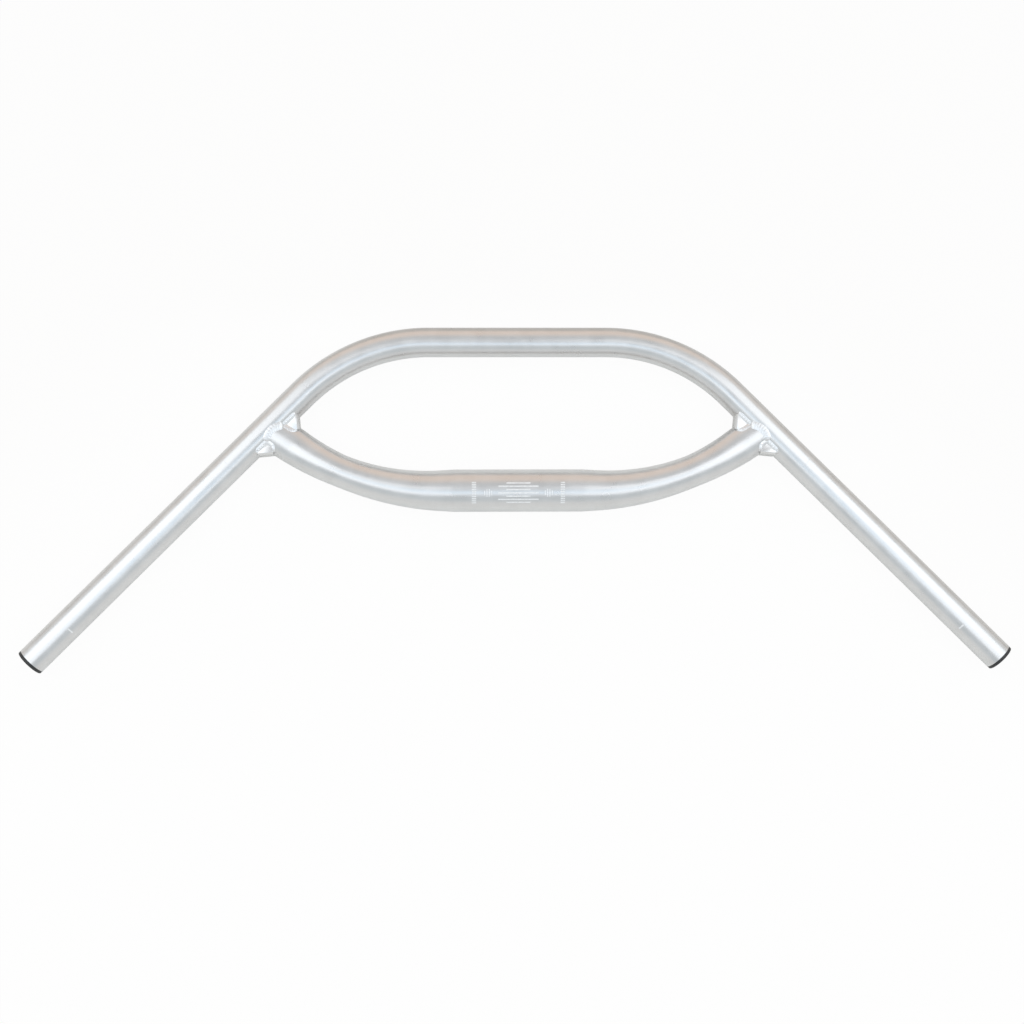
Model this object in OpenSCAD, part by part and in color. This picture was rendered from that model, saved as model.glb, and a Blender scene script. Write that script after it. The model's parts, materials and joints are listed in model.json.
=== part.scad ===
// Bicycle loop handlebar. One bent tube makes the loop and both grips. A tapered crossbar carries the stem clamp
// and is welded to the loop tube at its two ends, with a block in each corner of the joints. Plugs close the tube.
// The origin is the middle of the stem clamp, X runs to the right along it, Y forward and Z up.

/* [Loop and grips] */
// Outside diameter of the tube that makes the loop and both grips
grip_diameter = 22.2; // [21:0.1:24]
// Wall of that tube
grip_wall = 2.1; // [1.5:0.1:3]
// Straight stretch at the front of the loop
front_straight = 134.2; // [110:0.2:160]
// From the clamp's axis forward to the middle of the front tube
loop_reach = 112.4; // [100:0.2:125]
// Radius of the two front bends, at the middle of the tube
front_bend_radius = 133.2; // [115:0.2:150]
// Angle of the front bends, and so the sweep of the grips
sweep_angle = 45; // [40:0.5:50]
// Straight run from a front bend to the open end of the tube
grip_run = 282; // [260:1:310]
// Stretch at the end of the tube that takes a grip and its controls
grip_seat = 205; // [150:1:210]
// Width of the fine line scribed round the tube at the inner end of that stretch
scribe_width = 0.8; // [0.6:0.1:1.2]
// Depth of the scribed line
scribe_depth = 0.1; // [0.05:0.05:0.3]

/* [Crossbar] */
// Outside diameter where the stem clamps
clamp_diameter = 31.8; // [30:0.1:33]
// Length at that full diameter
clamp_length = 96; // [70:1:110]
// Wall at the clamp
clamp_wall = 2.6; // [2:0.1:3.5]
// Straight middle of the crossbar, between the bends of its arms
crossbar_straight = 115.2; // [112:0.2:130]
// Radius of the bend in each arm, at the middle of the tube
arm_bend_radius = 195.6; // [180:0.5:215]
// Angle by which each arm bends forward
arm_bend_angle = 33; // [29:0.5:36]
// Diameter of the neck, the narrowest place of each arm
neck_diameter = 24.5; // [23.5:0.1:26]
// From the middle of the clamp along the arm to the neck
neck_distance = 134; // [120:1:145]
// Width of the flattened end of each arm, where it meets the loop tube
arm_end_width = 28; // [26:0.1:29]
// Wall of the arms at that end
arm_end_wall = 2; // [1.5:0.1:2.5]

/* [Corner blocks] */
// Width of the blocks in the corners of the joints
block_width = 11.5; // [9:0.1:13]
// Height of the blocks
block_height = 16; // [12:0.1:17]
// How far the inner blocks stand out of their corners, inside the loop
inner_nose = 4.5; // [4:0.1:8]
// How far the rear blocks stand out of their corners, on the rider's side
rear_nose = 4.1; // [4:0.1:8]
// Bevel on the edges of a block's nose
block_bevel = 1; // [0.2:0.1:2]

/* [Weld beads] */
// Width of a bead
bead_width = 5; // [3.5:0.1:6]
// How far a bead stands proud of its seam
bead_height = 1.3; // [0.8:0.1:1.8]
// Distance from one ripple of a bead to the next
ripple_pitch = 2.4; // [2:0.1:4]
// Depth of the ripples
ripple_depth = 0.3; // [0.1:0.05:0.5]

/* [End plugs] */
// Thickness of a plug's flange
flange_thickness = 2; // [1:0.1:4]
// How far the flange's rim stays inside the tube's outside
flange_inset = 0.1; // [0:0.05:0.5]
// Bevel of the flange's outer edge
flange_bevel = 0.5; // [0.2:0.1:0.9]
// Length of a plug inside the tube
plug_depth = 20; // [14:0.5:30]
// Wall of a plug's hollow stem
plug_wall = 1.5; // [1:0.1:2.5]
// Height of the ribs that hold a plug in the tube
rib_height = 0.6; // [0.2:0.1:1]
// Distance from one rib to the next
rib_pitch = 4.5; // [3:0.5:6]

/* [Clearances] */
// Gap between pieces that are welded together
root_gap = 0.05; // [0.02:0.01:0.1]
// Radial clearance of a plug's ribs in the tube
plug_clearance = 0.05; // [0.02:0.01:0.1]
// Gap between a plug's flange and the end of the tube
seat_gap = 0.05; // [0.02:0.01:0.2]
// Gap between the end of one bead and the side of the next
bead_gap = 0.4; // [0.2:0.1:1]

/* [Hidden] */
$fn = 64;

// The sides of the bar and the corners of a joint are told apart by their sign
left = -1;
right = 1;
inner = 1;
rear = -1;

// The loop tube, given on the right-hand side
grip_radius = grip_diameter / 2;
grip_bore = grip_radius - grip_wall;
front_bend_centre = [front_straight / 2, loop_reach - front_bend_radius];
grip_along = [cos(sweep_angle), -sin(sweep_angle)];
grip_across = [sin(sweep_angle), cos(sweep_angle)];
grip_start = front_bend_centre + front_bend_radius * grip_across;
// Bending draws the tube in a little, and the straight stretches run a short way into the bends
bend_draw = 0.15;
bend_lap = 1;

// One arm of the crossbar, given on the right-hand side as distances from the middle of the clamp
clamp_radius = clamp_diameter / 2;
neck_radius = neck_diameter / 2;
arm_bend_start = crossbar_straight / 2;
arm_bend_length = arm_bend_radius * arm_bend_angle * PI / 180;
arm_along = [cos(arm_bend_angle), sin(arm_bend_angle)];
arm_across = [-sin(arm_bend_angle), cos(arm_bend_angle)];
arm_bend_end = [arm_bend_start, arm_bend_radius] - arm_bend_radius * arm_across;
// Where the middle lines of the arm and the grip cross
joint_run = ((grip_start - arm_bend_end) * grip_across) / (arm_along * grip_across);
joint = arm_bend_end + joint_run * arm_along;
arm_length = arm_bend_start + arm_bend_length + joint_run;
// Flattening the end keeps the girth that the tube has at its neck
arm_end_half_width = arm_end_width / 2;
arm_end_half_height = sqrt(2 * pow(neck_radius, 2) - pow(arm_end_half_width, 2));
// How quickly the arm narrows to its neck and widens again to its end
taper_power = 1.45;
flare_power = 1.2;
arm_sides = 32;
arm_steps = 20;
// The arms start a little inside the clamp's wall, so that they make one piece with it
arm_lap = 1;
arm_inset = 0.1;

// Weld beads are round bars sunk into their seam until only the bead's own width and height show
bead_radius = (pow(bead_width / 2, 2) + pow(bead_height, 2)) / (2 * bead_height);
bead_sink = bead_radius - bead_height;
bead_sides = 12;
ripple_rings = 3;
bead_step = ripple_pitch / ripple_rings;
// A bead's ends are smaller than the rest of it
bead_end_share = 0.85;

block_top = block_height / 2;
block_half = block_width / 2;

flange_radius = grip_radius - flange_inset;
rib_radius = grip_bore - plug_clearance;
stem_radius = rib_radius - rib_height;
stem_bore = stem_radius - plug_wall;
rib_count = floor((plug_depth - rib_pitch / 2) / rib_pitch);

// How far cutting shapes run past what they cut
over = 1;

function unit(v) = v / norm(v);
function lift(p, z) = [p[0], p[1], z];
function clip(x) = max(0, min(1, x));
// Number of steps of about the given size in a length
function steps(length, step) = max(2, round(abs(length) / step));
// The point whose distances along two directions are known
function crossing(n, n_distance, m, m_distance) =
    [n_distance * m[1] - m_distance * n[1], m_distance * n[0] - n_distance * m[0]]
    / (n[0] * m[1] - n[1] * m[0]);

// The arm's middle line, its heading and its cross-section at a distance from the clamp's middle
function arm_heading(s) = arm_bend_angle * clip((s - arm_bend_start) / arm_bend_length);
function arm_point(s) =
    let (turn = arm_heading(s), past = max(0, s - arm_bend_start - arm_bend_length))
    [min(s, arm_bend_start), 0]
    + arm_bend_radius * [sin(turn), 1 - cos(turn)]
    + past * arm_along;
function arm_girth(s) =
    let (left_over = 1 - clip((s - clamp_length / 2) / (neck_distance - clamp_length / 2)))
    neck_radius + (clamp_radius - arm_inset - neck_radius) * pow(left_over, taper_power);
function arm_half_width(s) =
    arm_girth(s)
    + (arm_end_half_width - neck_radius)
    * pow(clip((s - neck_distance) / (flare_end - neck_distance)), flare_power);
function arm_half_height(s) = sqrt(2 * pow(arm_girth(s), 2) - pow(arm_half_width(s), 2));
function arm_wall(s) =
    let (share = clip((s - clamp_length / 2) / (flare_end - clamp_length / 2)))
    (clamp_wall - 2 * arm_inset) * (1 - share) + arm_end_wall * share;
function oval(half_width, half_height) =
    [for (k = [0 : arm_sides - 1])
        let (turn = 360 * k / arm_sides)
        [half_width * cos(turn), half_height * sin(turn)]];
function arm_ring(s, inset) =
    let (heading = arm_heading(s), across = [-sin(heading), cos(heading)])
    [for (p = oval(arm_half_width(s) - inset, arm_half_height(s) - inset))
        lift(arm_point(s) + p[0] * across, p[1])];

// Triangles between two rings of points, from the first point of each
function band(first, second, sides) =
    [for (j = [0 : sides - 1])
        let (k = (j + 1) % sides)
        each [[first + j, second + j, second + k], [first + j, second + k, first + k]]];

// Places near a joint, measured from where the middle lines of the arm and the grip cross.
// Half the width of each tube at a height
function grip_offset(z) = sqrt(max(0, pow(grip_radius, 2) - z * z));
function arm_offset(z) = arm_end_half_width * sqrt(max(0, 1 - pow(z / arm_end_half_height, 2)));
// Height of each tube's top over a place
function grip_height(p) = grip_offset(p * grip_across);
function arm_height(p) = arm_end_half_height * sqrt(max(0, 1 - pow(p * arm_across / arm_end_half_width, 2)));
// Direction out of each tube's top over a place
function grip_normal(p) = unit(lift((p * grip_across) * grip_across, grip_height(p)));
function arm_normal(p) =
    unit(lift((p * arm_across) * arm_across / pow(arm_end_half_width, 2),
        arm_height(p) / pow(arm_end_half_height, 2)));

// A corner of the joint: the deepest point between the tubes at a height, the way out, and across to the grip
function corner_tip(corner, z) =
    crossing(grip_across, -grip_offset(z), arm_across, corner * arm_offset(z));
function corner_out(corner) = unit(-arm_along - corner * grip_along);
function corner_across(corner) = corner * [corner_out(corner)[1], -corner_out(corner)[0]];
function corner_point(corner, out, across) =
    corner_tip(corner, 0) + out * corner_out(corner) + across * corner_across(corner);

// The arm has its end section from here on, clear of the inner block and its bead
inner_block_foot = corner_point(inner, inner_nose, -block_half);
flare_end = arm_length + inner_block_foot * arm_along - bead_width / 2;

// A seam is a list of places on it, each with the direction in which its bead stands.
// Round a block: along its grip side, in an arch over the tip of its top, and back along its arm side
function block_seam(corner, nose) =
    let (tip = corner_tip(corner, 0),
        out = corner_out(corner),
        across = block_half * corner_across(corner),
        start = nose - block_bevel,
        grip_side = (-grip_offset(block_top) - (tip + across) * grip_across) / (out * grip_across),
        arm_side = (corner * arm_offset(block_top) - (tip - across) * arm_across) / (out * arm_across),
        apex = (corner_tip(corner, block_top) - tip) * out,
        middle = (grip_side + arm_side) / 2,
        lean = (grip_side - arm_side) / 2,
        grip_side_steps = steps(start - grip_side, bead_step),
        arm_side_steps = steps(start - arm_side, bead_step),
        arch_steps = steps(PI * (block_half + middle - apex) / 2, bead_step))
    concat(
        [for (k = [0 : grip_side_steps - 1])
            let (p = corner_point(corner, start + (grip_side - start) * k / grip_side_steps, block_half))
            [lift(p, grip_height(p)), [0, 0, 1] + grip_normal(p)]],
        [for (k = [0 : arch_steps])
            let (turn = 180 * k / arch_steps,
                p = corner_point(corner, middle + lean * cos(turn) - (middle - apex) * sin(turn),
                    block_half * cos(turn)),
                toward_arm = (1 - cos(turn)) / 2)
            [lift(p, max(block_top, grip_height(p), arm_height(p))),
                [0, 0, 1] + (1 - toward_arm) * grip_normal(p) + toward_arm * arm_normal(p)]],
        [for (k = [1 : arm_side_steps])
            let (p = corner_point(corner, arm_side + (start - arm_side) * k / arm_side_steps, -block_half))
            [lift(p, arm_height(p)), [0, 0, 1] + arm_normal(p)]]);

// Over the top of the joint, from the bead of the inner block to the bead of the rear block
function joint_seam() =
    let (reach = arm_offset(block_top) - bead_width / 2 - bead_gap,
        count = steps(2 * reach, bead_step))
    [for (k = [0 : count])
        let (w = reach - 2 * reach * k / count,
            z = arm_height(w * arm_across),
            p = crossing(grip_across, -grip_offset(z), arm_across, w))
        [lift(p, z), grip_normal(p) + arm_normal(p)]];

// A ring of the bar that makes a bead
function bead_ring(seam, k) =
    let (last = len(seam) - 1,
        along = unit(seam[min(k + 1, last)][0] - seam[max(k - 1, 0)][0]),
        up = unit(seam[k][1] - (seam[k][1] * along) * along),
        across = cross(up, along),
        size = bead_radius - ripple_depth * (k % ripple_rings) / (ripple_rings - 1),
        radius = k == 0 || k == last ? size * bead_end_share : size,
        centre = seam[k][0] - bead_sink * up)
    [for (j = [0 : bead_sides - 1])
        let (turn = 360 * j / bead_sides)
        centre + radius * (cos(turn) * across + sin(turn) * up)];

// Shapes are made on the right-hand side and mirrored to the left
module on_side(side) {
    if (side == left)
        mirror([1, 0, 0]) children();
    else
        children();
}

module both_sides() {
    for (side = [left, right])
        on_side(side) children();
}

// A frame at the centre of the front bend, turned so that the bend begins at the grip
module at_front_bend() {
    translate(lift(front_bend_centre, 0))
        rotate([0, 0, 90 - sweep_angle])
            children();
}

// Stands a shape on the grip's middle line, its Z axis pointing out along the grip
module on_grip(distance) {
    at_front_bend()
        translate([front_bend_radius, -distance, 0])
            rotate([90, 0, 0])
                children();
}

// A solid bar along the middle line of the loop tube
module loop_bar(radius, past_end) {
    translate([0, loop_reach, 0])
        rotate([0, 90, 0])
            cylinder(h = front_straight + 2 * bend_lap, r = radius, center = true);
    both_sides() {
        at_front_bend()
            rotate_extrude(angle = sweep_angle)
                translate([front_bend_radius, 0])
                    circle(radius - bend_draw);
        on_grip(-bend_lap)
            cylinder(h = bend_lap + grip_run + past_end, r = radius);
    }
}

// The line that marks the inner end of the grip's seat, a fine groove with sloping sides
module scribed_line() {
    half_width_outside = scribe_width / 2 * (1 + over / scribe_depth);
    on_grip(grip_run - grip_seat - scribe_width / 2)
        rotate_extrude()
            polygon([
                [grip_radius - scribe_depth, 0],
                [grip_radius + over, -half_width_outside],
                [grip_radius + over, half_width_outside]
            ]);
}

module loop_tube() {
    color("silver")
        difference() {
            loop_bar(grip_radius, 0);
            loop_bar(grip_bore, over);
            both_sides() scribed_line();
        }
}

// The outside of the grip and of the arm's end, which shape what is welded to them
module grip_outside(gap) {
    on_grip(0)
        cylinder(h = grip_run, r = grip_radius + gap);
}

module arm_end_outside(gap) {
    run = arm_length - flare_end;
    translate(lift(joint, 0))
        rotate([0, 0, arm_bend_angle])
            rotate([90, 0, 90])
                translate([0, 0, -run])
                    linear_extrude(run)
                        polygon(oval(arm_end_half_width + gap, arm_end_half_height + gap));
}

// One arm, from inside the clamp's wall to the middle of the joint
module arm() {
    start = clamp_length / 2 - arm_lap;
    stations = concat(
        [for (k = [0 : arm_steps]) start + (flare_end - start) * k / arm_steps],
        [arm_length]);
    last = len(stations) - 1;
    points = [for (s = stations) each concat(arm_ring(s, 0), arm_ring(s, arm_wall(s)))];
    outside = [for (k = [0 : last]) 2 * arm_sides * k];
    inside = [for (k = [0 : last]) 2 * arm_sides * k + arm_sides];
    faces = concat(
        band(inside[0], outside[0], arm_sides),
        [for (k = [0 : last - 1]) each band(outside[k], outside[k + 1], arm_sides)],
        [for (k = [0 : last - 1]) each band(inside[k + 1], inside[k], arm_sides)],
        band(outside[last], inside[last], arm_sides));
    polyhedron(points, faces);
}

module crossbar_tube() {
    color("silver")
        difference() {
            union() {
                rotate([0, 90, 0])
                    difference() {
                        cylinder(h = clamp_length, r = clamp_radius, center = true);
                        cylinder(h = clamp_length + over, r = clamp_radius - clamp_wall, center = true);
                    }
                both_sides() arm();
            }
            both_sides() grip_outside(root_gap);
        }
}

// A block as it is before the tubes' shapes are cut from it
module plain_block(corner, nose, gap) {
    tip = corner_tip(corner, 0);
    out = corner_out(corner);
    back = -tip * out;
    front = nose + gap;
    top = block_top + gap;
    translate(lift(joint + tip, 0))
        rotate([90, 0, atan2(out[1], out[0])])
            linear_extrude(block_width + 2 * gap, center = true)
                polygon([
                    [back, -top], [front - block_bevel, -top], [front, block_bevel - top],
                    [front, top - block_bevel], [front - block_bevel, top], [back, top]
                ]);
}

module gusset(side, corner, nose) {
    color("gainsboro")
        on_side(side)
            difference() {
                plain_block(corner, nose, 0);
                grip_outside(root_gap);
                arm_end_outside(root_gap);
            }
}

module inner_gusset(side) {
    gusset(side, inner, inner_nose);
}

module rear_gusset(side) {
    gusset(side, rear, rear_nose);
}

// The bar that makes a bead along a seam
module bead_bar(seam) {
    count = len(seam);
    points = [for (k = [0 : count - 1]) each bead_ring(seam, k)];
    faces = concat(
        [[for (j = [0 : bead_sides - 1]) j]],
        [for (k = [0 : count - 2]) each band(k * bead_sides, (k + 1) * bead_sides, bead_sides)],
        [[for (j = [1 : bead_sides]) count * bead_sides - j]]);
    translate(lift(joint, 0))
        polyhedron(points, faces);
}

// Beads along a seam on top of the joint and along the same seam below it
module beads(seam) {
    for (below = [0, 1])
        mirror([0, 0, below])
            bead_bar(seam);
}

module gusset_weld(side, corner, nose) {
    color("lightgray")
        on_side(side)
            difference() {
                beads(block_seam(corner, nose));
                plain_block(corner, nose, root_gap);
                grip_outside(root_gap);
                arm_end_outside(root_gap);
            }
}

module inner_gusset_weld(side) {
    gusset_weld(side, inner, inner_nose);
}

module rear_gusset_weld(side) {
    gusset_weld(side, rear, rear_nose);
}

module joint_weld(side) {
    color("lightgray")
        on_side(side)
            difference() {
                beads(joint_seam());
                grip_outside(root_gap);
                arm_end_outside(root_gap);
            }
}

module end_plug(side) {
    flange_top = seat_gap + flange_thickness;
    color("dimgray")
        on_side(side)
            on_grip(grip_run)
                rotate_extrude()
                    polygon(concat(
                        [[0, 0], [0, flange_top], [flange_radius - flange_bevel, flange_top],
                            [flange_radius, flange_top - flange_bevel], [flange_radius, seat_gap],
                            [stem_radius, seat_gap]],
                        [for (k = [1 : rib_count]) each [
                            [stem_radius, -rib_pitch * (k - 0.5)],
                            [rib_radius, -rib_pitch * (k - 0.5)],
                            [stem_radius, -rib_pitch * k]]],
                        [[stem_radius, -plug_depth], [stem_bore, -plug_depth], [stem_bore, 0]]));
}

loop_tube();
crossbar_tube();
inner_gusset(left);  // inner_gusset_left
inner_gusset(right);  // inner_gusset_right
rear_gusset(left);  // rear_gusset_left
rear_gusset(right);  // rear_gusset_right
joint_weld(left);  // joint_weld_left
joint_weld(right);  // joint_weld_right
inner_gusset_weld(left);  // inner_gusset_weld_left
inner_gusset_weld(right);  // inner_gusset_weld_right
rear_gusset_weld(left);  // rear_gusset_weld_left
rear_gusset_weld(right);  // rear_gusset_weld_right
end_plug(left);  // end_plug_left
end_plug(right);  // end_plug_right
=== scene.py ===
"""Dresses the loop handlebar: smooth tubes, corner blocks, rippled weld beads, end plugs and printed marks.

Laid out as a Blender add-on and run as a script. Lengths are in metres, in the frame of the packed model.
"""

import json
import math
from contextlib import contextmanager

import bmesh
import bpy
from mathutils import Euler, Matrix, Vector


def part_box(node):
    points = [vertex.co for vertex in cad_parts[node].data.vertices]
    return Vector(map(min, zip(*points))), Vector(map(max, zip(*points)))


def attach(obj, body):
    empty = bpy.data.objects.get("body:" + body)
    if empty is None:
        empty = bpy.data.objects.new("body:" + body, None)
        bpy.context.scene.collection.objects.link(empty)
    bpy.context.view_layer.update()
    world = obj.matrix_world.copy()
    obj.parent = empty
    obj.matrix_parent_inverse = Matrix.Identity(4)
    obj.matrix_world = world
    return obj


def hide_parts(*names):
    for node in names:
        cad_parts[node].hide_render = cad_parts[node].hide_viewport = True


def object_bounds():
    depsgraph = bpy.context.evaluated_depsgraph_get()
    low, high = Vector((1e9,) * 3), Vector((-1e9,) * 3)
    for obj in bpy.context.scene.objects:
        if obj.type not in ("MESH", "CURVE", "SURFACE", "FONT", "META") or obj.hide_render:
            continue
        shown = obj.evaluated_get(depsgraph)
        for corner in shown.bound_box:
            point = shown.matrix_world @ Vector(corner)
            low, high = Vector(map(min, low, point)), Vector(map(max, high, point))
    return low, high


bl_info = {
    "name": "Loop handlebar",
    "version": (1, 0, 0),
    "blender": (4, 5, 0),
    "location": "3D View > Sidebar > Handlebar",
    "description": "Builds the visible pieces of a loop handlebar on its packed model, and a stage for it",
    "category": "Object",
}

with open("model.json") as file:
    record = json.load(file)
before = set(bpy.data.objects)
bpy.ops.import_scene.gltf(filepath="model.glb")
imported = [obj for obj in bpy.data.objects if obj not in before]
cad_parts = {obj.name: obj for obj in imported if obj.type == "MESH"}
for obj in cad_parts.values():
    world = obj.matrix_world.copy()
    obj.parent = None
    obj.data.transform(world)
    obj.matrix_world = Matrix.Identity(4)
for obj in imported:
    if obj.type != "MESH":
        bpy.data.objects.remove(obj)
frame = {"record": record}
cad_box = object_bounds()
mounts = {mount["name"]: mount for mount in frame["record"]["mounts"]}

MM = 0.001
RIGHT = Vector((1, 0, 0))
FORWARD = Vector((0, 1, 0))
UP = Vector((0, 0, 1))
SIDES = {"left": -1, "right": 1}
# The two corners of a joint are told apart by their sign
CORNERS = {"inner": 1, "rear": -1}
# Sides of the meshes that go round the tubes and the plugs
ROUND_SIDES = 96
# Sockets of a colour Mix node
MIX_FACTOR = 0
MIX_FIRST = 6
MIX_SECOND = 7
MIX_RESULT = 2
# Between these lie most values of a noise, and nearly all of them
NOISE_MOST = (0.35, 0.65)
NOISE_ALL = (0.3, 0.7)
WHITE = (1, 1, 1)


def length(name, description, millimetres):
    return bpy.props.FloatProperty(
        name=name, description=description, default=millimetres * MM, min=0, precision=5,
        unit="LENGTH", subtype="DISTANCE",
    )


def angle(name, description, degrees):
    return bpy.props.FloatProperty(
        name=name, description=description, default=math.radians(degrees), unit="ROTATION", subtype="ANGLE",
    )


def share(name, description, default):
    return bpy.props.FloatProperty(
        name=name, description=description, default=default, min=0, max=1, subtype="FACTOR",
    )


def colour(name, description, default):
    return bpy.props.FloatVectorProperty(
        name=name, description=description, default=default, size=3, min=0, max=1, subtype="COLOR",
    )


class TubeSizes(bpy.types.PropertyGroup):
    """Sizes of the loop tube and the crossbar that the mounts don't give"""

    grip_wall: length("Grip wall", "Wall of the loop tube", 2.1)
    front_bend_radius: length("Front bend", "Radius of the front bends, to the tube's middle line", 133.2)
    tube_setback: length("Tube setback", "How far the loop tube ends before the end of the grip's seat", 0.7)
    scribe_width: length("Scribed line width", "Width of the line at the end of the grip's seat", 0.5)
    scribe_depth: length("Scribed line depth", "Depth of the line at the end of the grip's seat", 0.03)
    clamp_wall: length("Clamp wall", "Wall of the crossbar at the stem clamp", 2.6)
    crossbar_straight: length("Crossbar straight", "Straight middle of the crossbar", 115.2)
    arm_bend_radius: length("Arm bend", "Radius of the crossbar's bends, to its middle line", 195.6)
    arm_bend_angle: angle("Arm angle", "How far each arm of the crossbar turns forward", 33)
    neck_diameter: length("Neck diameter", "Diameter of each arm at its thinnest", 24.5)
    neck_distance: length("Neck distance", "Distance of the necks from the middle, along the arm", 134)
    arm_end_width: length("Arm end width", "Width of each arm's flattened end", 28)
    flare_clearance: length("Flare clearance", "From an inner block's nose to the arm's full width", 2.5)
    arm_end_wall: length("Arm end wall", "Wall of each arm at its end", 2)


class BlockSizes(bpy.types.PropertyGroup):
    """Sizes of the four blocks in the corners of the joints"""

    width: length("Width", "Width of a block's nose", 11.5)
    height: length("Height", "Height of a block", 16)
    inner_nose: length("Inner nose", "How far an inner block stands out of its corner", 4.5)
    rear_nose: length("Rear nose", "How far a rear block stands out of its corner", 4.1)
    bevel: length("Nose bevel", "Bevel at the top and bottom of a block's nose", 1.5)
    inner_rise: angle("Inner rise", "How much an inner block's top rises toward its nose", 4)
    rear_rise: angle("Rear rise", "How much a rear block's top rises toward its nose", 6)
    edge_round: length("Edge round", "Rounding of a block's edges", 0.2)


class BeadSizes(bpy.types.PropertyGroup):
    """Sizes of the weld beads"""

    block_reach: length("Block bead reach", "How far a block's bead reaches to both sides of its seam", 1.7)
    block_bulge: length("Block bead bulge", "How far the face of a block's bead bulges", 0.25)
    block_bend: length("Block bead bend", "How far before and after a corner a block's bead bends", 1.6)
    joint_reach: length("Joint bead reach", "How far a joint's bead reaches to both sides of its seam", 3)
    joint_bulge: length("Joint bead bulge", "How far the face of a joint's bead bulges", 0.4)
    ripple_pitch: length("Ripple pitch", "Distance from one ripple of a bead to the next", 2.2)
    ripple_depth: length("Ripple depth", "Depth of the ripples", 0.1)
    toe_sink: length("Toe sink", "How deep the edges of a bead run into the metal beside it", 0.05)
    root: length("Root", "How deep a bead goes into its seam", 1.5)


class PlugSizes(bpy.types.PropertyGroup):
    """Sizes of the end plugs"""

    flange_thickness: length("Flange thickness", "Thickness of a plug's flange", 2.7)
    flange_inset: length("Flange inset", "How far the flange's rim stays inside the tube's outside", 0.12)
    flange_round: length("Flange round", "Rounding of the flange's outer edge", 0.5)
    face_dome: length("Face dome", "How far the middle of a plug's face stands out", 0.2)
    depth: length("Depth", "Length of a plug inside the tube", 20)
    wall: length("Stem wall", "Wall of a plug's hollow stem", 1.5)
    rib_height: length("Rib height", "Height of the ribs that hold a plug in the tube", 0.6)
    rib_pitch: length("Rib pitch", "Distance from one rib to the next", 4.5)
    clearance: length("Clearance", "Radial clearance of a plug's ribs in the tube", 0.05)
    seat_gap: length("Seat gap", "Gap between a plug's flange and the end of the tube", 0.05)


class MarkSizes(bpy.types.PropertyGroup):
    """Sizes of the printed setting marks"""

    film: length("Ink film", "Thickness of the printed ink", 0.03)
    line: length("Line", "Width of a printed line", 1)
    scale_length: length("Scale length", "Length of the long lines of the middle scale", 30)
    scale_step: angle("Scale step", "Turn of the bar from one line of the middle scale to the next", 9)
    scale_turn: angle("Scale turn", "How far the marks are turned from the clamp's top to the rider", 11)
    tick_distance: length("Tick distance", "Distance of the centring ticks from the middle", 22.5)
    tick_pitch: length("Tick pitch", "Distance from one centring tick to the next", 1.7)
    ladder_distance: length("Ladder distance", "Distance of the outer ladders from the middle", 33)
    ladder_width: length("Ladder width", "Width of the outer ladders", 3.2)
    cut_distance: length("Cut mark distance", "Distance of the cut marks from the ends of the tube", 37)
    cut_span: angle("Cut mark span", "How far a cut mark goes round the tube", 25)
    cut_turn: angle("Cut mark turn", "How far a cut mark is turned from the tube's top to the rider", 31)


class Finishes(bpy.types.PropertyGroup):
    """Colours and roughness of the materials"""

    metal: colour("Metal", "Blasted and clear anodised aluminium of the tubes", (0.765, 0.765, 0.765))
    block: colour("Block", "Aluminium of the corner blocks", (0.81, 0.81, 0.81))
    weld: colour("Weld", "Aluminium of the weld beads", (0.89, 0.89, 0.895))
    plastic: colour("Plastic", "Moulded plastic of the end plugs", (0.016, 0.016, 0.017))
    plastic_rubbed: colour("Rubbed plastic", "Plastic of the end plugs' rubbed rims", (0.06, 0.06, 0.06))
    ink: colour("Ink", "Ink of the printed marks", (0.95, 0.95, 0.95))
    metal_roughness: share("Metal roughness", "Roughness of the blasted metal", 0.3)
    weld_roughness: share("Weld roughness", "Roughness of the weld beads", 0.38)
    plastic_roughness: share("Plastic roughness", "Roughness of the plugs", 0.42)
    ink_roughness: share("Ink roughness", "Roughness of the printed ink", 0.475)


class StageSizes(bpy.types.PropertyGroup):
    """The camera and the floor"""

    camera_place: bpy.props.FloatVectorProperty(
        name="Camera place", description="Where the camera stands", size=3, subtype="TRANSLATION",
        unit="LENGTH", default=(-0.03528, -0.1007, 1.19737),
    )
    camera_turn: bpy.props.FloatVectorProperty(
        name="Camera turn", description="How the camera is turned", size=3, subtype="EULER", unit="ROTATION",
        default=[math.radians(degrees) for degrees in (4.045, -1.456, -0.253)],
    )
    lens: bpy.props.FloatProperty(
        name="Lens", description="Focal length of the camera, in millimetres", default=56.25, min=1,
    )
    floor_size: length("Floor size", "Width of the floor", 8000)
    floor_white: share("Floor white", "Share of plain white in the floor, the rest shows its shadows", 0.95)
    # Painted light: the floor's colour is a lit pool near the bar and painted shade farther away
    floor_lit_pool: colour("Lit pool of floor", "Colour of the floor near the bar", (0.95, 0.925, 0.885))
    floor_painted_shade: colour("Painted shaded floor", "Colour of the floor farther away", (0.68, 0.63, 0.58))


def clip(value):
    return max(0.0, min(1.0, value))


def crossing(n, n_distance, m, m_distance):
    """The point whose distances along two flat directions are known"""
    across = n.x * m.y - n.y * m.x
    x = (n_distance * m.y - m_distance * n.y) / across
    y = (m_distance * n.x - n_distance * m.x) / across
    return Vector((x, y, 0))


def mirrored(point, side):
    return Vector((side * point.x, point.y, point.z))


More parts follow.
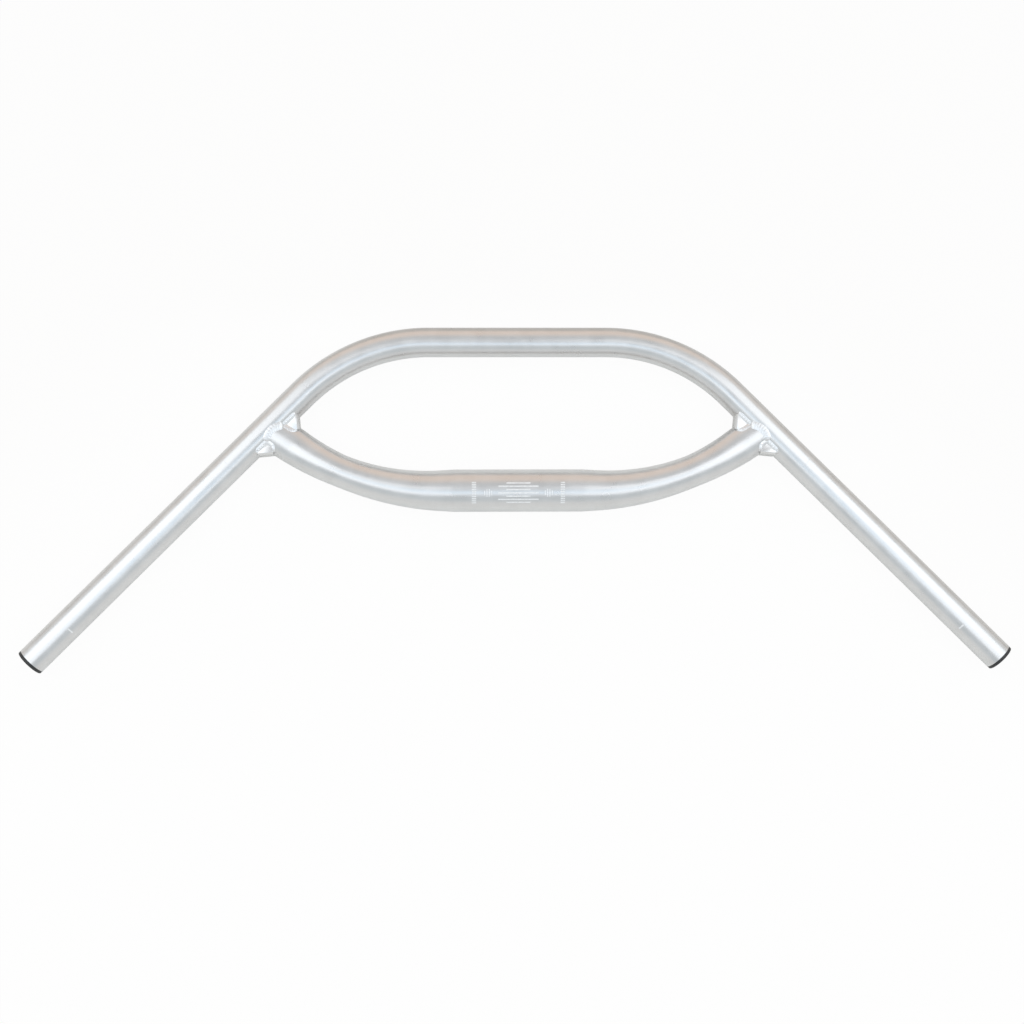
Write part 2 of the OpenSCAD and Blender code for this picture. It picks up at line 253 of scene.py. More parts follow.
class Bar:
    """The settings, and the middle lines, sections and corners that they give on the right-hand side"""

    # How the girth falls from the clamp to the neck, and how the width grows from there to the arm's end
    taper_power = 1.45
    flare_power = 1.2

    def __init__(self, scene):
        self.tubes = scene.handlebar_tubes
        self.blocks = scene.handlebar_blocks
        self.beads = scene.handlebar_beads
        self.plugs = scene.handlebar_plugs
        self.marks = scene.handlebar_marks
        self.finishes = scene.handlebar_finishes
        # How far the block in each corner stands out, and how much its top rises
        self.noses = {
            "inner": (self.blocks.inner_nose, self.blocks.inner_rise),
            "rear": (self.blocks.rear_nose, self.blocks.rear_rise),
        }
        self.lay_loop_tube()
        self.lay_crossbar()

    def lay_loop_tube(self):
        grip = mounts["right_grip"]
        seat = grip["dims"]["length_mm"] * MM
        self.grip_radius = grip["dims"]["r_mm"] * MM
        self.grip_along = Vector(grip["axis"]).normalized()
        self.grip_across = UP.cross(self.grip_along)
        self.grip_end = Vector(grip["pos_m"]) + seat / 2 * self.grip_along
        self.grip_line = self.grip_end @ self.grip_across
        self.tube_end = self.grip_end - self.tubes.tube_setback * self.grip_along
        self.seat_start = self.grip_end - seat * self.grip_along
        self.sweep_angle = math.atan2(-self.grip_along.y, self.grip_along.x)
        # The front bend touches the middle lines of the front tube and the grip
        radius = self.tubes.front_bend_radius
        self.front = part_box("loop_tube")[1].y - self.grip_radius
        self.front_bend_centre = crossing(
            FORWARD, self.front - radius, self.grip_across, self.grip_line - radius
        )

    def lay_crossbar(self):
        clamp = mounts["stem_clamp"]["dims"]
        self.clamp_radius = clamp["r_mm"] * MM
        self.clamp_half = clamp["length_mm"] * MM / 2
        radius = self.tubes.arm_bend_radius
        turn = self.tubes.arm_bend_angle
        self.arm_bend_start = self.tubes.crossbar_straight / 2
        self.arm_bend_length = radius * turn
        self.arm_along = Vector((math.cos(turn), math.sin(turn), 0))
        self.arm_across = UP.cross(self.arm_along)
        bend_end = Vector((self.arm_bend_start, radius, 0)) - radius * self.arm_across
        # The middle lines of the arm and the grip cross at the joint
        self.joint = crossing(self.arm_across, bend_end @ self.arm_across, self.grip_across, self.grip_line)
        past_bend = (self.joint - bend_end) @ self.arm_along
        self.arm_length = self.arm_bend_start + self.arm_bend_length + past_bend
        # Flattening an arm's end keeps the girth that it has at its neck
        self.neck_radius = self.tubes.neck_diameter / 2
        self.end_half_width = self.tubes.arm_end_width / 2
        self.end_half_height = math.sqrt(2 * self.neck_radius**2 - self.end_half_width**2)
        inner_foot = self.corner_point(CORNERS["inner"], self.blocks.inner_nose, -self.blocks.width / 2)
        self.flare_end = self.arm_length + inner_foot @ self.arm_along - self.tubes.flare_clearance

    def arm_station(self, distance):
        """The arm at a distance along it: its point, the way across it, half width, half height and wall"""
        tubes = self.tubes
        past_start = distance - self.arm_bend_start
        heading = tubes.arm_bend_angle * clip(past_start / self.arm_bend_length)
        past_bend = max(0, past_start - self.arm_bend_length)
        bent = tubes.arm_bend_radius * Vector((math.sin(heading), 1 - math.cos(heading), 0))
        point = Vector((min(distance, self.arm_bend_start), 0, 0)) + bent + past_bend * self.arm_along
        across = Vector((-math.sin(heading), math.cos(heading), 0))

        past_clamp = distance - self.clamp_half
        left_over = 1 - clip(past_clamp / (tubes.neck_distance - self.clamp_half))
        girth = self.neck_radius + (self.clamp_radius - self.neck_radius) * left_over**self.taper_power
        flare = clip((distance - tubes.neck_distance) / (self.flare_end - tubes.neck_distance))
        half_width = girth + (self.end_half_width - self.neck_radius) * flare**self.flare_power
        half_height = math.sqrt(2 * girth**2 - half_width**2)
        thinning = clip(past_clamp / (self.flare_end - self.clamp_half))
        wall = tubes.clamp_wall * (1 - thinning) + tubes.arm_end_wall * thinning
        return point, across, half_width, half_height, wall

    # Places near a joint are measured from the joint. Half the width of each tube at a height
    def grip_offset(self, z):
        return math.sqrt(max(0, self.grip_radius**2 - z * z))

    def arm_offset(self, z):
        return self.end_half_width * math.sqrt(max(0, 1 - (z / self.end_half_height) ** 2))

    # Height of each tube's top over a place, and of the higher one
    def grip_height(self, place):
        return self.grip_offset(place @ self.grip_across)

    def arm_height(self, place):
        sideways = place @ self.arm_across / self.end_half_width
        return self.end_half_height * math.sqrt(max(0, 1 - sideways**2))

    def tubes_height(self, place):
        return max(self.grip_height(place), self.arm_height(place))

    # A corner of the joint: its deepest point at a height, the way out of it, and across it to the grip
    def corner_tip(self, corner, z):
        return crossing(self.grip_across, -self.grip_offset(z), self.arm_across, corner * self.arm_offset(z))

    def corner_out(self, corner):
        return (-self.arm_along - corner * self.grip_along).normalized()

    def corner_across(self, corner):
        return corner * self.corner_out(corner).cross(UP)

    def corner_point(self, corner, out, across):
        level = out * self.corner_out(corner) + across * self.corner_across(corner)
        return self.corner_tip(corner, 0) + level


def oval(centre, across, half_width, half_height):
    """A ring of points round a middle line, which runs level"""
    turns = [2 * math.pi * k / ROUND_SIDES for k in range(ROUND_SIDES)]
    return [
        centre + half_width * math.cos(turn) * across + half_height * math.sin(turn) * UP for turn in turns
    ]


def both_halves(rings):
    """The rings of a whole tube, from those of its right half, which starts in the middle"""
    return [[mirrored(point, -1) for point in ring] for ring in reversed(rings[1:])] + rings


def sleeve(rings, closed=False):
    """Points of a row of rings, and the faces from each ring to the next, and round again if closed"""
    points = [point for ring in rings for point in ring]
    count = len(rings[0])
    starts = range(0, len(points), count)
    nexts = [*starts[1:], 0] if closed else starts[1:]
    faces = [
        (first + j, first + (j + 1) % count, second + (j + 1) % count, second + j)
        for first, second in zip(starts, nexts)
        for j in range(count)
    ]
    return points, faces


def hollow_tube(outside, inside):
    """Points and faces of a whole tube, from the rings of its outside and its bore in its right half"""
    return sleeve(both_halves(outside) + both_halves(inside)[::-1], closed=True)


def solid_bar(rings):
    """Points and faces of a bar with flat ends, from its rings"""
    points, faces = sleeve(rings)
    numbers = range(len(points))
    count = len(rings[0])
    return points, [tuple(numbers[:count]), tuple(numbers[-count:]), *faces]


def joined(shapes):
    """Points and faces of several shapes as those of one"""
    points = []
    faces = []
    for shape_points, shape_faces in shapes:
        faces += [tuple(len(points) + k for k in face) for face in shape_faces]
        points += shape_points
    return points, faces


def on_side(shape, side):
    points, faces = shape
    return [mirrored(point, side) for point in points], faces


@contextmanager
def opened(mesh):
    """A mesh opened for editing, and written back afterwards"""
    work = bmesh.new()
    work.from_mesh(mesh)
    yield work
    work.to_mesh(mesh)
    work.free()


def add_mesh(name, shape):
    """A mesh object from points and faces, with the faces of a closed shape turned outward"""
    points, faces = shape
    mesh = bpy.data.meshes.new(name)
    mesh.from_pydata(points, [], faces)
    with opened(mesh) as work:
        bmesh.ops.recalc_face_normals(work, faces=work.faces)
    piece = bpy.data.objects.new(name, mesh)
    bpy.context.collection.objects.link(piece)
    return piece


def dress(piece, material, body, nodes, sharp_degrees=35):
    """Gives a piece its material and smooth shading, and sets it in place of the CAD nodes on its body"""
    piece.data.materials.clear()
    piece.data.materials.append(material)
    piece.data.shade_smooth()
    piece.data.set_sharp_from_angle(angle=math.radians(sharp_degrees))
    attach(piece, body)
    if nodes:
        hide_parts(*nodes)


def plug_in(tree, node, sockets):
    """Sets a node's inputs to values, or links them from other nodes' outputs"""
    for name, value in sockets.items():
        if isinstance(value, bpy.types.NodeSocket):
            tree.links.new(value, node.inputs[name])
        else:
            node.inputs[name].default_value = value


def add_node(tree, kind, sockets=None, **settings):
    node = tree.nodes.new(kind)
    for name, value in settings.items():
        setattr(node, name, value)
    plug_in(tree, node, sockets or {})
    return node


def add_math(tree, operation, *values):
    return add_node(tree, "ShaderNodeMath", dict(enumerate(values)), operation=operation).outputs[0]


def remap(tree, value, low, high, new_low=0.0, new_high=1.0):
    """A value stretched from one range to another, and kept inside it"""
    sockets = {"Value": value, "From Min": low, "From Max": high, "To Min": new_low, "To Max": new_high}
    return add_node(tree, "ShaderNodeMapRange", sockets).outputs["Result"]


def mix_colours(tree, factor, first, second):
    sockets = {MIX_FACTOR: factor, MIX_FIRST: first, MIX_SECOND: second}
    return add_node(tree, "ShaderNodeMix", sockets, data_type="RGBA").outputs[MIX_RESULT]


def opaque(rgb, times=1.0):
    """A colour for a socket, made darker or brighter"""
    return (*[times * part for part in rgb], 1)


def effect_group(name, inputs, fill):
    """A node group, built once: its inputs with their defaults, and the outputs that fill makes from them"""
    if name in bpy.data.node_groups:
        return bpy.data.node_groups[name]
    group = bpy.data.node_groups.new(name, "ShaderNodeTree")
    for socket_name, default in inputs.items():
        socket = group.interface.new_socket(socket_name, in_out="INPUT", socket_type="NodeSocketFloat")
        socket.default_value = default
    results = fill(group, group.nodes.new("NodeGroupInput").outputs)
    for socket_name in results:
        group.interface.new_socket(socket_name, in_out="OUTPUT", socket_type="NodeSocketFloat")
    plug_in(group, group.nodes.new("NodeGroupOutput"), results)
    return group


def add_noise(tree, size, detail):
    """A noise in the object's own space, with patches of a size"""
    place = add_node(tree, "ShaderNodeTexCoord").outputs["Object"]
    scale = add_math(tree, "DIVIDE", 1.0, size)
    sockets = {"Vector": place, "Scale": scale, "Detail": detail}
    return add_node(tree, "ShaderNodeTexNoise", sockets).outputs["Fac"]


def surface_grain():
    """Node group: the fine grain of a blasted or moulded surface, and the broad mottling of its sheen"""
    def fill(tree, sizes):
        return {
            "Grain": add_noise(tree, sizes["Grain Size"], detail=2.0),
            "Mottle": add_noise(tree, sizes["Mottle Size"], detail=3.0),
        }

    return effect_group("Surface Grain", {"Grain Size": 0.5 * MM, "Mottle Size": 12 * MM}, fill)


def edge_rub():
    """Node group: a mask of raised edges that handling has rubbed bright, in patches"""
    edge_range = (0.5, 0.58)
    patch_range = (0.35, 0.6)
    least_rub = 0.3

    def fill(tree, sizes):
        pointiness = add_node(tree, "ShaderNodeNewGeometry").outputs["Pointiness"]
        noise = add_noise(tree, sizes["Patch Size"], detail=3.0)
        patches = remap(tree, noise, *patch_range, least_rub)
        return {"Rub": add_math(tree, "MULTIPLY", remap(tree, pointiness, *edge_range), patches)}

    return effect_group("Edge Rub", {"Patch Size": 3 * MM}, fill)


def seam_painted_shade():
    """Node group: a mask of painted shade, from ambient occlusion, in the narrow corners beside seams and
    ripples
    """
    open_range = (0.3, 0.95)

    def fill(tree, sizes):
        sockets = {"Distance": sizes["Reach"]}
        opening = add_node(tree, "ShaderNodeAmbientOcclusion", sockets, samples=8).outputs["AO"]
        return {"Painted Shade": remap(tree, opening, *open_range, 1.0, 0.0)}

    return effect_group("Seam Painted Shade", {"Reach": 2 * MM}, fill)


def new_material(name):
    """A material with only a Principled shader in it"""
    material = bpy.data.materials.new(name)
    material.use_nodes = True
    return material, material.node_tree, material.node_tree.nodes["Principled BSDF"]


def add_effect(tree, group, sizes=None):
    """The outputs of an effect, placed in a material with its own sizes"""
    return add_node(tree, "ShaderNodeGroup", sizes, node_tree=group).outputs


def add_sheen(tree, grain, roughness, spread):
    """Roughness that varies with the mottling"""
    return remap(tree, grain["Mottle"], *NOISE_ALL, roughness - spread, roughness + spread)


def add_bump(tree, grain, depth, strength):
    sockets = {"Height": grain["Grain"], "Distance": depth, "Strength": strength}
    return add_node(tree, "ShaderNodeBump", sockets).outputs["Normal"]


def blasted_metal(name, rgb, roughness, rub, painted_shade):
    """Blasted aluminium: sandy grain, mottled sheen, bright rubbed edges, and painted shade that darkens the
    corners beside the seams
    """
    if name in bpy.data.materials:
        return bpy.data.materials[name]
    material, tree, shader = new_material(name)
    speck_share = 0.12
    rub_smoothing = 0.1
    grain = add_effect(tree, surface_grain())
    mottle = remap(tree, grain["Mottle"], *NOISE_MOST)
    specks = remap(tree, grain["Grain"], *NOISE_MOST, speck_share, 0.0)
    edges = add_math(tree, "MULTIPLY", add_effect(tree, edge_rub())["Rub"], rub)
    # Painted shade: the colour darkens where ambient occlusion finds narrow corners beside the seams
    corners = add_math(tree, "MULTIPLY", add_effect(tree, seam_painted_shade())["Painted Shade"], painted_shade)
    skin = mix_colours(tree, mottle, opaque(rgb, times=0.96), opaque(rgb, times=1.02))
    skin = mix_colours(tree, specks, skin, opaque(rgb, times=0.6))
    skin = mix_colours(tree, edges, skin, opaque(WHITE, times=0.92))
    skin = mix_colours(tree, corners, skin, opaque(rgb, times=0.35))
    sheen = add_sheen(tree, grain, roughness, spread=0.03)
    smoothing = add_math(tree, "MULTIPLY", edges, rub_smoothing)
    plug_in(tree, shader, {
        "Base Color": skin,
        "Roughness": add_math(tree, "SUBTRACT", sheen, smoothing),
        "Metallic": 1,
        "Normal": add_bump(tree, grain, depth=0.02 * MM, strength=0.35),
    })
    return material


def tube_metal(finishes):
    # Painted shade darkens the tube's corners beside the seams at this share
    return blasted_metal(
        "Blasted tube aluminium", finishes.metal, finishes.metal_roughness, rub=0.0, painted_shade=0.2
    )


def moulded_plastic(finishes):
    """Black moulded plastic: fine spark-eroded grain, greyer where its rim is rubbed"""
    material, tree, shader = new_material("Moulded black plastic")
    rub_share = 0.5
    rgb = finishes.plastic
    grain = add_effect(tree, surface_grain(), {"Grain Size": 0.35 * MM, "Mottle Size": 5 * MM})
    rub = add_effect(tree, edge_rub(), {"Patch Size": 1.5 * MM})["Rub"]
    skin = mix_colours(tree, grain["Mottle"], opaque(rgb, times=0.8), opaque(rgb, times=1.3))
    edges = add_math(tree, "MULTIPLY", rub, rub_share)
    plug_in(tree, shader, {
        "Base Color": mix_colours(tree, edges, skin, opaque(finishes.plastic_rubbed)),
        "Roughness": add_sheen(tree, grain, finishes.plastic_roughness, spread=0.06),
        "Normal": add_bump(tree, grain, depth=0.03 * MM, strength=0.6),
    })
    return material


def printed_ink(finishes):
    """Screen-printed ink: slightly uneven in colour and thickness"""
    material, tree, shader = new_material("White screen print")
    rgb = finishes.ink
    grain = add_effect(tree, surface_grain(), {"Grain Size": 0.3 * MM, "Mottle Size": 2 * MM})
    mottle = remap(tree, grain["Mottle"], *NOISE_MOST)
    plug_in(tree, shader, {
        "Base Color": mix_colours(tree, mottle, opaque(rgb, times=0.9), opaque(rgb, times=1.05)),
        "Roughness": add_sheen(tree, grain, finishes.ink_roughness, spread=0.075),
        "Normal": add_bump(tree, grain, depth=0.01 * MM, strength=0.4),
    })
    return material


class HANDLEBAR_OT_loop_tube(bpy.types.Operator):
    """Bent tube that makes the front of the loop and both grips, with a scribed line at each grip's seat"""

    bl_idname = "handlebar.loop_tube"
    bl_label = "Loop tube"
    bend_steps = 40

    def execute(self, context):
        bar = Bar(context.scene)
        tubes = bar.tubes
        bend = bar.front_bend_centre
        stations = [(x * RIGHT + bar.front * FORWARD, FORWARD, 0.0) for x in (0, bend.x)]
        for k in range(1, self.bend_steps + 1):
            turn = bar.sweep_angle * k / self.bend_steps
            across = Vector((math.sin(turn), math.cos(turn), 0))
            stations.append((bend + tubes.front_bend_radius * across, across, 0.0))
        for past, depth in ((-1, 0.0), (-0.5, tubes.scribe_depth), (0, 0.0)):
            place = bar.seat_start + past * tubes.scribe_width * bar.grip_along
            stations.append((place, bar.grip_across, depth))
        stations.append((bar.tube_end, bar.grip_across, 0.0))

        radius = bar.grip_radius
        bore = radius - tubes.grip_wall
        outside = [oval(place, across, radius - depth, radius - depth) for place, across, depth in stations]
        inside = [oval(place, across, bore, bore) for place, across, depth in stations]
        piece = add_mesh("bent_loop_tube", hollow_tube(outside, inside))
        dress(piece, tube_metal(bar.finishes), "bar", ["loop_tube"], sharp_degrees=5)
        return {"FINISHED"}


class HANDLEBAR_OT_crossbar(bpy.types.Operator):
    """Crossbar with a thick clamp in its middle and two tapered arms, flattened and coped to fit the grips"""

    bl_idname = "handlebar.crossbar"
    bl_label = "Crossbar"
    arm_steps = 48
    end_steps = 6

    def execute(self, context):
        bar = Bar(context.scene)
        rings = [self.arm_rings(bar, bore) for bore in (False, True)]
        piece = add_mesh("tapered_crossbar", hollow_tube(*rings))
        dress(piece, tube_metal(bar.finishes), "bar", ["crossbar_tube"])
        return {"FINISHED"}

    def arm_rings(self, bar, bore):
        """Rings of an arm, from the middle of the clamp to the grip. The ink's film stands on the metal"""
        run = bar.flare_end - bar.clamp_half
        stations = [0.0] + [bar.clamp_half + run * k / self.arm_steps for k in range(self.arm_steps + 1)]
        rings = []
        for distance in stations:
            point, across, half_width, half_height, wall = bar.arm_station(distance)
            inset = wall if bore else bar.marks.film
            rings.append(oval(point, across, half_width - inset, half_height - inset))

        inset = bar.tubes.arm_end_wall if bore else bar.marks.film
        section = oval(Vector(), bar.arm_across, bar.end_half_width - inset, bar.end_half_height - inset)
        start = bar.flare_end - bar.arm_length
        slant = bar.arm_along @ bar.grip_across
        for k in range(1, self.end_steps + 1):
            ring = []
            for point in section:
                # The arm ends where it meets the outside of the grip
                reach = (-bar.grip_offset(point.z) - point @ bar.grip_across) / slant
                along = start + (reach - start) * k / self.end_steps
                ring.append(bar.joint + point + along * bar.arm_along)
            rings.append(ring)
        return rings


class HANDLEBAR_OT_corner_blocks(bpy.types.Operator):
    """Four bevelled blocks, cut to fit the tubes in the corners of the joints"""

    bl_idname = "handlebar.corner_blocks"
    bl_label = "Corner blocks"
    round_segments = 3
    round_profile = 0.5
    merge_distance = 0.02 * MM

    def execute(self, context):
        bar = Bar(context.scene)
        # Painted shade darkens the blocks' corners beside the seams at this share
        metal = blasted_metal(
            "Blasted block aluminium", bar.finishes.block, bar.finishes.metal_roughness, rub=0.2, painted_shade=0.1
        )
        for corner_name, corner in CORNERS.items():
            shape = self.plain_block(bar, corner, *bar.noses[corner_name])
            for side_name, side in SIDES.items():
                piece = add_mesh(f"corner_block_{corner_name}_{side_name}", on_side(shape, side))
                self.round_edges(piece.data, bar.blocks.edge_round)
                self.cut(piece, [on_side(tube, side) for tube in self.tube_shapes(bar)])
                self.merge_close_points(piece.data)
                dress(piece, metal, "bar", [f"{corner_name}_gusset_{side_name}"])
        return {"FINISHED"}

    def plain_block(self, bar, corner, nose, rise):
        """A block before the tubes are cut from it, from the middle of the joint to its nose"""
        blocks = bar.blocks
        back = -bar.corner_tip(corner, 0) @ bar.corner_out(corner)
        top = blocks.height / 2
        edge = nose - blocks.bevel
        edge_height = top + edge * math.tan(rise)
        upper_half = [
            (back, top + back * math.tan(rise)),
            (edge, edge_height),
            (nose, edge_height - blocks.bevel),
        ]
        outline = upper_half + [(out, -z) for out, z in reversed(upper_half)]
        return solid_bar([
            [bar.joint + bar.corner_point(corner, out, across) + z * UP for out, z in outline]
            for across in (-blocks.width / 2, blocks.width / 2)
        ])

    def round_edges(self, mesh, size):
        with opened(mesh) as work:
            bmesh.ops.bevel(
                work, geom=work.edges[:], offset=size, segments=self.round_segments,
                profile=self.round_profile, affect="EDGES",
            )

    def tube_shapes(self, bar):
        """Solid bars along the grip and the arm's end, as large as these tubes"""
        def solid(along, across, half_width, half_height, ends):
            return solid_bar([oval(bar.joint + end * along, across, half_width, half_height) for end in ends])

        reach = bar.arm_length - bar.flare_end
        return [
            solid(bar.grip_along, bar.grip_across, bar.grip_radius, bar.grip_radius, (-reach, reach)),
            solid(bar.arm_along, bar.arm_across, bar.end_half_width, bar.end_half_height, (-reach, 0)),
        ]

    def cut(self, piece, shapes):
        """Takes the shapes out of a piece"""
        cutters = [add_mesh("cutter", shape) for shape in shapes]
        for cutter in cutters:
            modifier = piece.modifiers.new("Cut", "BOOLEAN")
            modifier.operation = "DIFFERENCE"
            modifier.solver = "EXACT"
            modifier.object = cutter
        result = piece.evaluated_get(bpy.context.evaluated_depsgraph_get())
        mesh = bpy.data.meshes.new_from_object(result)
        piece.modifiers.clear()
        piece.data = mesh
        for cutter in cutters:
            bpy.data.meshes.remove(cutter.data)

    def merge_close_points(self, mesh):
        """Removes the slivers that a cut leaves, and the points on straight edges"""
        with opened(mesh) as work:
            bmesh.ops.remove_doubles(work, verts=work.verts, dist=self.merge_distance)
            between = [vert for vert in work.verts if len(vert.link_edges) == 2]
            bmesh.ops.dissolve_verts(work, verts=between)


class HANDLEBAR_OT_weld_beads(bpy.types.Operator):
    """Rippled weld beads round the corner blocks and across the joints, above and below"""

    bl_idname = "handlebar.weld_beads"
    bl_label = "Weld beads"
    step = 0.2 * MM
    face_steps = 20
    # How far a ripple bows at its ends, as a share of the pitch, how narrow it is, and how it fades there
    ripple_bow = 0.35
    ripple_power = 3
    fade_power = 4

    def execute(self, context):
        bar = Bar(context.scene)
        # Painted shade darkens the beads' corners beside the seams at this share
        metal = blasted_metal(
            "Weld bead aluminium", bar.finishes.weld, bar.finishes.weld_roughness, rub=0.2, painted_shade=0.1
        )
        shapes = {"joint_weld": self.joint_bead(bar)}
        for corner_name, corner in CORNERS.items():
            shapes[f"{corner_name}_gusset_weld"] = self.block_bead(bar, corner, *bar.noses[corner_name])
        for name, (points, faces) in shapes.items():
            below = [Vector((point.x, point.y, -point.z)) for point in points]
            for side_name, side in SIDES.items():
                shape = joined([on_side((points, faces), side), on_side((below, faces), side)])
                piece = add_mesh(f"rippled_{name}_{side_name}", shape)
                dress(piece, metal, "bar", [f"{name}_{side_name}"], sharp_degrees=60)
        return {"FINISHED"}

    def step_count(self, run):
        return max(2, round(abs(run) / self.step))

    def block_bead(self, bar, corner, nose, rise):
        tip = bar.corner_tip(corner, 0)
        out = bar.corner_out(corner)

        def block_top(place):
            return bar.blocks.height / 2 + (place - tip) @ out * math.tan(rise)

        def far_toe(place, inward, reach):
            """Up the side of the block, and over its edge where that is near"""
            foot = bar.tubes_height(place)
            climb = max(0.0, min(reach, block_top(place) - foot))
            toe = place + (reach - climb) * inward
            return toe + min(block_top(toe), foot + climb) * UP

        path = self.block_path(bar, corner, nose)
        inside = bar.corner_point(corner, nose, 0)
        return self.bead(bar, path, inside, far_toe, bar.beads.block_reach, bar.beads.block_bulge)

    def block_path(self, bar, corner, nose):
        """Along a block's grip side, round the tip of its top, and back along its arm side"""
        top = bar.blocks.height / 2
        half = bar.blocks.width / 2
        tip = bar.corner_tip(corner, 0)
        out = bar.corner_out(corner)
        across = half * bar.corner_across(corner)
        start = nose - bar.blocks.bevel
        grip_side = (-bar.grip_offset(top) - (tip + across) @ bar.grip_across) / (out @ bar.grip_across)
        arm_side = (corner * bar.arm_offset(top) - (tip - across) @ bar.arm_across) / (out @ bar.arm_across)
        bends = [
            bar.corner_point(corner, start, half),
            bar.corner_point(corner, grip_side, half),
            bar.corner_tip(corner, top),
            bar.corner_point(corner, arm_side, -half),
            bar.corner_point(corner, start, -half),
        ]
        path = [bends[0]]
        for before, after in zip(bends, bends[1:]):
            count = self.step_count((after - before).length)
            path += [before.lerp(after, k / count) for k in range(1, count + 1)]
        return self.rounded(path, self.step_count(bar.beads.block_bend))

    def rounded(self, path, reach):
        """A path with round bends: each place moves to the middle of its neighbours on both sides"""
        last = len(path) - 1
        places = []
        for k in range(last + 1):
            count = min(reach, k, last - k)
            neighbours = path[k - count:k + count + 1]
            places.append(sum(neighbours, Vector()) / len(neighbours))
        return places

    def joint_bead(self, bar):
        """Over the top of the joint, from the bead of the inner block to the bead of the rear block"""
        def far_toe(place, inward, reach):
            toe = place + reach * inward
            return toe + bar.tubes_height(toe) * UP

        reach = bar.arm_offset(bar.blocks.height / 2)
        count = self.step_count(2 * reach)
        path = []
        for k in range(count + 1):
            sideways = reach * (1 - 2 * k / count)
            height = bar.arm_height(sideways * bar.arm_across)
            path.append(crossing(bar.grip_across, -bar.grip_offset(height), bar.arm_across, sideways))
        inside = path[count // 2] - reach * bar.arm_along
        return self.bead(bar, path, inside, far_toe, bar.beads.joint_reach, bar.beads.joint_bulge)

    def bead(self, bar, path, inside, far_toe, reach, height):
        """A bead over a level path, from a toe on the tubes to a far toe on the inside, with bowed ripples"""
        beads = bar.beads
        last = len(path) - 1
        seam = [place + bar.tubes_height(place) * UP for place in path]
        distances = [0.0]
        for before, after in zip(seam, seam[1:]):
            distances.append(distances[-1] + (after - before).length)
        middle = path[last // 2]
        middle_run = path[last // 2 + 1] - middle
        turn = 1 if UP.cross(middle_run) @ (inside - middle) > 0 else -1

        rings = []
        for k, place in enumerate(path):
            run = path[min(k + 1, last)] - path[max(k - 1, 0)]
            inward = turn * UP.cross(run).normalized()
            # Both ends are round in plan
            to_end = min(distances[k], distances[last] - distances[k]) + self.step
            roundness = math.sqrt(1 - (1 - clip(to_end / reach)) ** 2)
            near = place - roundness * reach * inward
            near += bar.tubes_height(near) * UP
            far = far_toe(place, inward, roundness * reach)
            up = turn * run.cross(far - near).normalized()
            ring = []
            for j in range(self.face_steps + 1):
                sideways = 2 * j / self.face_steps - 1
                phase = distances[k] / beads.ripple_pitch - self.ripple_bow * sideways**2
                groove = ((1 + math.cos(2 * math.pi * phase)) / 2) ** self.ripple_power
                bulge = height * (1 - sideways**2) - beads.toe_sink
                bulge -= beads.ripple_depth * groove * (1 - sideways**self.fade_power)
                ring.append(bar.joint + near.lerp(far, (sideways + 1) / 2) + roundness * bulge * up)
            ring.append(bar.joint + place + (min(near.z, far.z) - beads.root) * UP)
            rings.append(ring)
        return solid_bar(rings)


class HANDLEBAR_OT_end_plugs(bpy.types.Operator):
    """Two push-in end plugs, each with a domed flange and a hollow ribbed stem"""

    bl_idname = "handlebar.end_plugs"
    bl_label = "End plugs"
    round_steps = 6

    def execute(self, context):
        bar = Bar(context.scene)
        shape = self.turned(bar, self.profile(bar))
        plastic = moulded_plastic(bar.finishes)
        for side_name, side in SIDES.items():
            piece = add_mesh(f"ribbed_end_plug_{side_name}", on_side(shape, side))
            dress(piece, plastic, f"{side_name}_plug", [f"end_plug_{side_name}"])
        return {"FINISHED"}

    def profile(self, bar):
        """Radius and height of each ring, from the middle of the face to the bottom of the stem's bore"""
        plugs = bar.plugs
        flange_radius = bar.grip_radius - plugs.flange_inset
        face_radius = flange_radius - plugs.flange_round
        seat = plugs.seat_gap - bar.tubes.tube_setback
        flange_top = seat + plugs.flange_thickness
        rim = flange_top - plugs.face_dome
        rib_radius = bar.grip_radius - bar.tubes.grip_wall - plugs.clearance
        stem_radius = rib_radius - plugs.rib_height
        stem_bore = stem_radius - plugs.wall
        rib_count = int((plugs.depth - plugs.rib_pitch / 2) / plugs.rib_pitch)

        points = []
        for k in range(self.round_steps):
            out = k / self.round_steps
            points.append((face_radius * out, flange_top - plugs.face_dome * out**2))
        for k in range(self.round_steps + 1):
            turn = math.pi / 2 * k / self.round_steps
            points.append((
                flange_radius - plugs.flange_round * (1 - math.sin(turn)),
                rim - plugs.flange_round * (1 - math.cos(turn)),
            ))
        points += [(flange_radius, seat), (stem_radius, seat)]
        for k in range(1, rib_count + 1):
            start = -plugs.rib_pitch * (k - 0.5)
            points += [(stem_radius, start), (rib_radius, start), (stem_radius, -plugs.rib_pitch * k)]
        points += [(stem_radius, -plugs.depth), (stem_bore, -plugs.depth), (stem_bore, 0.0), (0.0, 0.0)]
        return points

    def turned(self, bar, profile):
        """A profile turned about the grip's middle line. It starts and ends on that line"""
        places = [bar.grip_end + height * bar.grip_along for radius, height in profile]
        rings = [
            oval(place, bar.grip_across, radius, radius) for place, (radius, height) in zip(places, profile)
        ]
        points, faces = sleeve(rings[1:-1])
        end = len(points)
        for tip, start in ((end, 0), (end + 1, end - ROUND_SIDES)):
            faces += [(tip, start + j, start + (j + 1) % ROUND_SIDES) for j in range(ROUND_SIDES)]
        return points + [places[0], places[-1]], faces


